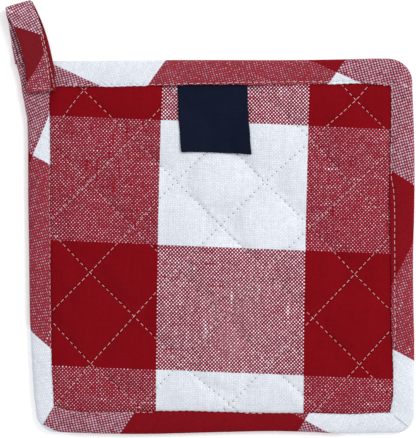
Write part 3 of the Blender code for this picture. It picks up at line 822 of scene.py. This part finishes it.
def makeLoop():
    shape = loopShape
    centre, aheads, foldMiddle = loopPath()
    along = np.gradient(centre, axis=0)
    reached = np.concatenate(([0.0], np.cumsum(np.linalg.norm(np.diff(centre, axis=0), axis=1))))
    points, weave, sewing = [], [], []
    total, folded = reached[-1], reached[foldMiddle]
    for n, (place, ahead, walked) in enumerate(zip(centre, aheads, reached)):
        side = np.array((ahead[1], -ahead[0], 0.0))
        seen = -unit(np.cross(side, along[n]))
        toEnd = total - walked
        downFront = max(walked - folded, 0) / (total - folded)
        width = shape["width"] + (shape["endWidth"] - shape["width"]) * downFront
        width += 0.35 * drift(*place, 14)
        turned = ease((shape["turnedEnd"] + 0.8 - toEnd) / 1.6)
        starting = 1 - ease(walked / shape["startReach"])
        thicker = (shape["startThickness"] - shape["thickness"]) * starting
        least, most = shape["upperShort"]
        short = least + (most - least) * ease((downFront - 0.15) / 0.6)
        skin, lining = loopSection(width, shape["thickness"] + thicker, short)
        closing = 1.0
        for end in (toEnd, walked + 0.6):
            closing = min(closing, 0.45 + 0.55 * sqrt(max(1 - max(1 - end / 0.9, 0.0) ** 2, 0.0)))
        rolled = np.cumsum([0.0] + [hypot(b - c, h - g) for (b, h), (c, g) in zip(skin[1:], skin)])
        lengthwise = (walked - folded) / pixel
        for k, (b, h) in enumerate(skin + lining):
            onSkin = k < len(skin)
            height = h * closing
            if h > 0:
                height += (shape["turnedThickness"] - shape["thickness"]) * turned
            waver = 0.14 * drift(b, lengthwise * pixel, 4, 8) * (1 if downFront > 0 else 0.4)
            spot = place + side * b + seen * (height + waver)
            spot[2] += thicker / 2
            points.append((spot[0], spot[1], max(spot[2], 0.02)))
            fromFold = rolled[k] - rolled[shape["foldsAt"]] if onSkin else b + width / 2
            unrolled = (fromFold if onSkin or h > 0 else -fromFold) - width / 2
            across = unrolled / pixel
            # the hidden half of the strip lies askew
            slip = shape["slip"] * max(-unrolled / width - 0.5, 0.0)
            warp = (lengthwise - slip + shape["warpLean"] * across - shape["warpStart"]) / shape["warpPitch"]
            weft = (lengthwise + shape["weftLean"] * across - shape["weftStart"]) / shape["weftPitch"]
            weave.append(countThreads(warp - 1, weft))
            fromRow = b - (width / 2 - short - 0.85) if onSkin and h > 0 else noRow
            sewing.append((walked / shape["stitchPeriod"], fromRow))
    size, count = len(skin) + len(lining), len(centre)
    faces = []
    for n in range(count - 1):
        here, ahead = n * size, (n + 1) * size
        for k in range(size):
            beside = (k + 1) % size
            faces.append((here + k, ahead + k, ahead + beside, here + beside))
    faces += [tuple(range(size)), tuple((count - 1) * size + k for k in reversed(range(size)))]
    piece = meshPiece("hangingLoop", points, faces)
    writeMapAtPoints(piece, "weave", weave)
    writeMapAtPoints(piece, "sewing", sewing)
    return piece


loop = makeLoop()
finishPiece(loop, checkMaterial("checkLoop", loopShape, **loopCloth), "hanging_loop")
print("loop done", len(loop.data.polygons))

# label: a woven navy ribbon caught under the top binding
def surfaceTree(piece):
    return BVHTree.FromObject(piece, bpy.context.evaluated_depsgraph_get())


def surfaceUnder(tree, x, y, fromAbove=True):
    # the height and the normal of the cloth that is met from above, or from below
    start = Vector((x * mm, y * mm, 0.1 if fromAbove else -0.1))
    hit = tree.ray_cast(start, Vector((0, 0, -1 if fromAbove else 1)))
    return None if hit[0] is None else (hit[0].z / mm, hit[1])


def makeLabel():
    shape = labelShape
    piece, shares = gridPiece("sewnLabel", *shape["cells"])
    tree = surfaceTree(pad)
    topLeft, topRight, bottomRight, bottomLeft = (np.array(place) for place in shape["corners"].values())
    points, flat = [], []
    for a, b, _ in shares:
        downward = 1 - b
        top = topLeft + (topRight - topLeft) * a
        low = bottomLeft + (bottomRight - bottomLeft) * a
        low = low + np.array((0.0, 0.35 * sin(5.2 * a + 0.4) - 0.75 * ease((a - 0.8) / 0.2)))
        place = top + (low - top) * downward
        place[0] += 0.18 * drift(0, place[1], 2, 7) * abs(2 * a - 1) - shape["bow"] * sin(pi * downward)
        around = [surfaceUnder(tree, place[0] + dx, min(place[1] + dy, shape["sewnAbove"]))[0]
            for dx in (-1.6, 0, 1.6) for dy in (-1.6, 0, 1.6)]
        height = max(0.55 * max(around) + 0.45 * float(np.mean(around)), around[4]) + shape["lift"]
        height += 0.5 * max(downward - 0.75, 0) / 0.25 * (0.6 + 0.5 * sin(7.5 * a + 1.0))
        points.append((*place, height))
        flat.append((a * shape["flat"][0], downward * shape["flat"][1]))
    writePoints(piece, points)
    writeMapAtPoints(piece, "ribbon", flat)
    applyModifier(piece, "SOLIDIFY", thickness=shape["thickness"] * mm, offset=1.0)
    applyModifier(piece, "SUBSURF", levels=1, render_levels=1)
    return piece


def ribbonMaterial():
    material, tree, shader = newMaterial("navyRibbon", 0.62, 0.05)
    times, plus, _, timesPlus = sums(tree)
    place = mapNodes(tree, "ribbon")
    ribs = calc(tree, "SINE", times(place[1], 2 * pi / 0.42))
    picks = calc(tree, "SINE", times(place[0], 2 * pi / 0.3))
    weave = timesPlus(picks, 0.4, ribs)
    mottle = noiseAt(tree, addNode(tree, "TexCoord").outputs["Object"], 900.0, 3.0)["Fac"]
    # painted shade in the grooves between ribs and picks, lighter on their tops, over a random mottle
    tone = plus(times(weave, 0.12), timesPlus(mottle, 0.5, 0.75))
    bump = addNode(tree, "Bump", {"Strength": 0.4, "Distance": 0.00008, "Height": weave}).outputs[0]
    feed(tree, shader, {"Base Color": shaded(tree, (*labelShape["navy"], 1.0), tone), "Normal": bump})
    return material


label = makeLabel()
finishPiece(label, ribbonMaterial(), "sewn_label")
print("label done", len(label.data.polygons))

# sewing thread
thread = dict(
    radius=0.12, sides=6, dash=0.97, sink=0.24, white=(0.84, 0.82, 0.85), blushed=(0.93, 0.63, 0.65),
    onWhite=10,  # where a thread's map is counted on from on white cloth
)


def threadMaterial():
    material, tree, shader = newMaterial("whiteThread", 0.7, 0.1)
    times, plus = sums(tree)[:2]
    place = mapNodes(tree, "twist")
    ply = calc(tree, "SINE", times(plus(times(place[0], 2.6), place[1]), 2 * pi))
    # painted shade between the twisted plies, lighter on their tops
    tone = mapRange(tree, ply, -1.0, 1.0, 0.82, 1.05, "LINEAR")
    # off the white cloth, the red round a thread tints it
    onWhite = calc(tree, "GREATER_THAN", place[1], thread["onWhite"] / 2)
    colour = mixColours(tree, onWhite, (*thread["blushed"], 1.0), (*thread["white"], 1.0))
    bump = addNode(tree, "Bump", {"Strength": 0.5, "Distance": 0.0001, "Height": ply}).outputs[0]
    feed(tree, shader, {"Base Color": shaded(tree, colour, tone), "Normal": bump})
    return material


def addStitch(points, faces, twists, path, normals, onWhite):
    # one dash of thread along five places of the cloth, its ends pulled into their holes
    sides, radius = thread["sides"], thread["radius"]
    first, last = len(points), len(path) - 1
    for n, (place, normal) in enumerate(zip(path, normals)):
        share = n / last
        ahead = unit(path[min(n + 1, last)] - path[max(n - 1, 0)])
        normal = unit(normal - ahead * float(np.dot(normal, ahead)))
        beside = np.cross(ahead, normal)
        bow = sin(pi * share) ** 0.3
        middle = place + normal * (radius * 0.75 * bow - thread["sink"] * (1 - bow))
        size = radius * (0.55 + 0.45 * bow)
        middle[2] = max(middle[2], size * 0.8 + 0.02)
        for k in range(sides):
            turn = 2 * pi * k / sides
            points.append(middle + beside * size * cos(turn) + normal * size * 0.8 * sin(turn))
            twists.append((share * 2.4, k / sides + (thread["onWhite"] if onWhite else 0)))
    for n in range(last):
        for k in range(sides):
            a, b = first + n * sides + k, first + n * sides + (k + 1) % sides
            faces.append((a, b, b + sides, a + sides))
    faces.append(tuple(first + k for k in reversed(range(sides))))
    faces.append(tuple(first + last * sides + k for k in range(sides)))


def isWhite(threads):
    warp, weft = threads
    return floor(warp / checkCloth["warpThreads"]) % 2 == 0 == floor(weft / checkCloth["weftThreads"]) % 2


def stitchPiece(name, cloth, dashes, threadsAt):
    # each dash is (plan places, from above or below, how deep it is pulled in)
    tree = surfaceTree(cloth)
    points, faces, twists, count = [], [], [], 0
    for places, fromAbove, sink in dashes:
        hits = [surfaceUnder(tree, x, y, fromAbove) for x, y in places]
        if None in hits:
            continue
        normals = [np.array(hit[1]) for hit in hits]
        path = [np.array((x, y, hit[0])) - normal * sink
            for (x, y), hit, normal in zip(places, hits, normals)]
        addStitch(points, faces, twists, path, normals, isWhite(threadsAt(*path[2][:2])))
        count += 1
    piece = meshPiece(name, points, faces)
    writeMapAtPoints(piece, "twist", twists)
    finishPiece(piece, threadLook)
    print(name, count, "stitches")


def dashShares(count):
    half = thread["dash"] / 2
    return [0.5 - half + 2 * half * n / (count - 1) for n in range(count)]


threadLook = threadMaterial()


def quiltStitches():
    left, right = labelShape["covers"]
    for family in (0, 1):
        for line in range(-5, 10):
            offset = line * quilting["lineOffset"][family]
            for number in range(-70, 110):
                def place(share):
                    other = (number + share - offset) / quilting["stitchesPerEdge"]
                    return quiltPlace(line, other) if family == 0 else quiltPlace(other, line)

                # a dash that runs under the binding is drawn as far as it shows
                shown = [share for share in dashShares(13) if depthInside(*place(share)) > 0.25]
                if len(shown) < 6:
                    continue
                ends = [place(share) for share in np.linspace(shown[0], shown[-1], 5)]
                x, y = ends[2]
                underLabel = left < x < right and y > labelShape["coversAbove"]
                for fromAbove in (False,) if underLabel else (True, False):
                    yield ends, fromAbove, quilting["sink"][family]


def bindingStitches():
    shape = bindingShape
    counts = [count for count, _ in bindingRow]
    xs, ys = zip(*(place for _, place in bindingRow))
    for number in range(int(counts[-1]) + 1):
        shares = [number + share for share in dashShares(5)]
        if shares[-1] > counts[-1]:
            continue
        places = [[float(np.interp(s, counts, way)) for way in (xs, ys)] for s in shares]
        x, y = places[2]
        underLoop = x < shape["loopCorner"][0] and y > shape["loopCorner"][1]
        inDitch = y < shape["ditchBelow"] and not any(low < x < high for low, high in shape["shown"])
        for fromAbove in (False,) if underLoop or inDitch else (True, False):
            yield places, fromAbove, 0.0


# the loop's rows of stitches, in photo pixels
loopRows = (
    ((29.5, 5.5), (32.0, 9.5), (34.5, 14.5), (36.8, 19.5), (38.8, 24.5), (40.6, 29.5), (42.2, 34.0)),
    ((41.6, 36.5), (42.6, 42.0), (43.9, 47.5), (45.2, 53.0), (46.4, 58.5), (47.4, 64.0), (48.2, 69.5),
        (48.8, 75.0), (49.4, 80.5)),
    ((43.2, 34.5), (44.2, 40.0), (45.3, 45.5), (46.6, 51.0), (47.9, 56.5), (49.2, 62.0), (50.4, 67.5),
        (51.6, 73.0), (52.6, 78.5), (53.8, 84.0), (54.6, 88.0)),
    ((54.0, 89.5), (48.6, 89.3), (43.2, 89.1), (37.8, 89.0), (32.4, 88.9), (27.0, 88.8)),
)


def loopStitches():
    for row in loopRows:
        for near, far in zip(row, row[1:]):
            places = []
            for share in dashShares(5):
                px, py = near[0] + (far[0] - near[0]) * share, near[1] + (far[1] - near[1]) * share
                places.append(((px - photoMiddle[0]) * pixel, (photoMiddle[1] - py) * pixel))
            yield places, True, 0.0


def stripThreads(x, y):
    # the strip's thread counts beside its sewn row
    inner = outline["inner"]
    reaches = dict(top=inner["top"] - y, right=inner["right"] - x, bottom=y - inner["bottom"],
        left=x - inner["left"])
    return weaveOnStrip(*stripPlace(min(reaches, key=reaches.get), x, y))


stitchPiece("quiltThread", pad, quiltStitches(), weaveOnPad)
stitchPiece("bindingThread", binding, bindingStitches(), stripThreads)
stitchPiece("loopThread", loop, loopStitches(), lambda x, y: (-1, -1))

# floor, light and camera
studio = dict(
    floor=(0.93, 0.93, 0.935), floorGlow=0.19, world=(0.985, 0.992, 1.0), worldLight=0.82,
    lampPlace=(0.90, 0.66, 1.15), lampSize=0.8, lampPower=14.0, lampColour=(1.0, 0.985, 0.96),
    lens=240.0, eye=(-0.00042, -0.00104, 1.5238),
)


def makeStudio():
    scene = bpy.context.scene
    clearSelection()
    bpy.ops.mesh.primitive_plane_add(size=6.0, location=(0, 0, -0.0003))
    table = bpy.context.object
    table.name = table.data.name = "tableTop"
    material, tree, shader = newMaterial("paleTable", 0.9, 0.0)
    grain = noiseAt(tree, addNode(tree, "TexCoord").outputs["Object"], 400.0)["Fac"]
    colour = shaded(tree, (*studio["floor"], 1.0), mapRange(tree, grain, 0.3, 0.7, 0.99, 1.01, "LINEAR"))
    feed(tree, shader, {"Base Color": colour, "Emission Color": (1.0, 1.0, 1.0, 1.0),
        "Emission Strength": studio["floorGlow"]})
    table.data.materials.append(material)
    world = scene.world = bpy.data.worlds.new("softRoom")
    world.use_nodes = True
    background = world.node_tree.nodes["Background"]
    feed(world.node_tree, background, {0: (*studio["world"], 1.0), 1: studio["worldLight"]})
    lamp = bpy.data.lights.new("softLamp", "AREA")
    lamp.shape, lamp.size, lamp.energy = "DISK", studio["lampSize"], studio["lampPower"]
    lamp.color = studio["lampColour"]
    lampObject = bpy.data.objects.new("softLamp", lamp)
    lampObject.location = studio["lampPlace"]
    lampObject.rotation_euler = (-Vector(studio["lampPlace"])).to_track_quat("-Z", "Y").to_euler()
    scene.collection.objects.link(lampObject)
    camera = bpy.data.cameras.new("photoCamera")
    camera.lens, camera.sensor_width = studio["lens"], 36.0
    cameraObject = scene.camera = bpy.data.objects.new("photoCamera", camera)
    cameraObject.location = studio["eye"]
    scene.collection.objects.link(cameraObject)
    scene.view_settings.view_transform = "Standard"


makeStudio()
print("studio done")
